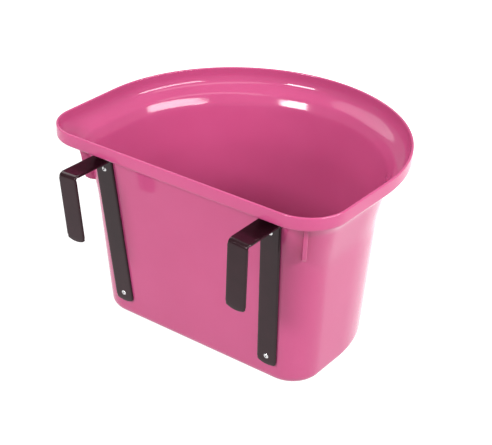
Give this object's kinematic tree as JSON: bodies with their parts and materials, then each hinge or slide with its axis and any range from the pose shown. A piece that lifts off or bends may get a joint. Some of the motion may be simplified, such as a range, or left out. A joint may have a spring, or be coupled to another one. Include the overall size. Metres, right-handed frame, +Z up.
{
  "type": "hook-over feed bucket",
  "caption": "D-shaped moulded feed tub with a funnel rim and a flat back, carried by bent flat-steel hooks that drop over a rail or a stable door.",
  "frame": {"origin": "on the base, on the vertical axis of the round side's arc, which is the centre of the base_rest mount", "axes": "+Z up; +Y away from the flat side, so the flat side and its hooks face -Y; +X along the flat side"},
  "size_m": [0.39, 0.3634, 0.252],
  "materials": {
    "tub_plastic": "glossy moulded pink plastic",
    "hook_steel": "satin black powder coat",
    "rivet_metal": "bright bare metal",
    "mandrel_metal": "plain zinc-plated steel",
    "washer_metal": "bright bare metal"
  },
  "bodies": {
    "root": {"bucket_shell": "tub_plastic", "hook_bracket_left": "hook_steel", "hook_bracket_right": "hook_steel", "rivet_left_upper": "rivet_metal", "rivet_left_lower": "rivet_metal", "rivet_right_upper": "rivet_metal", "rivet_right_lower": "rivet_metal", "mandrel_left_upper": "mandrel_metal", "mandrel_left_lower": "mandrel_metal", "mandrel_right_upper": "mandrel_metal", "mandrel_right_lower": "mandrel_metal", "washer_left_upper": "washer_metal", "washer_left_lower": "washer_metal", "washer_right_upper": "washer_metal", "washer_right_lower": "washer_metal"}
  },
  "joints": []
}
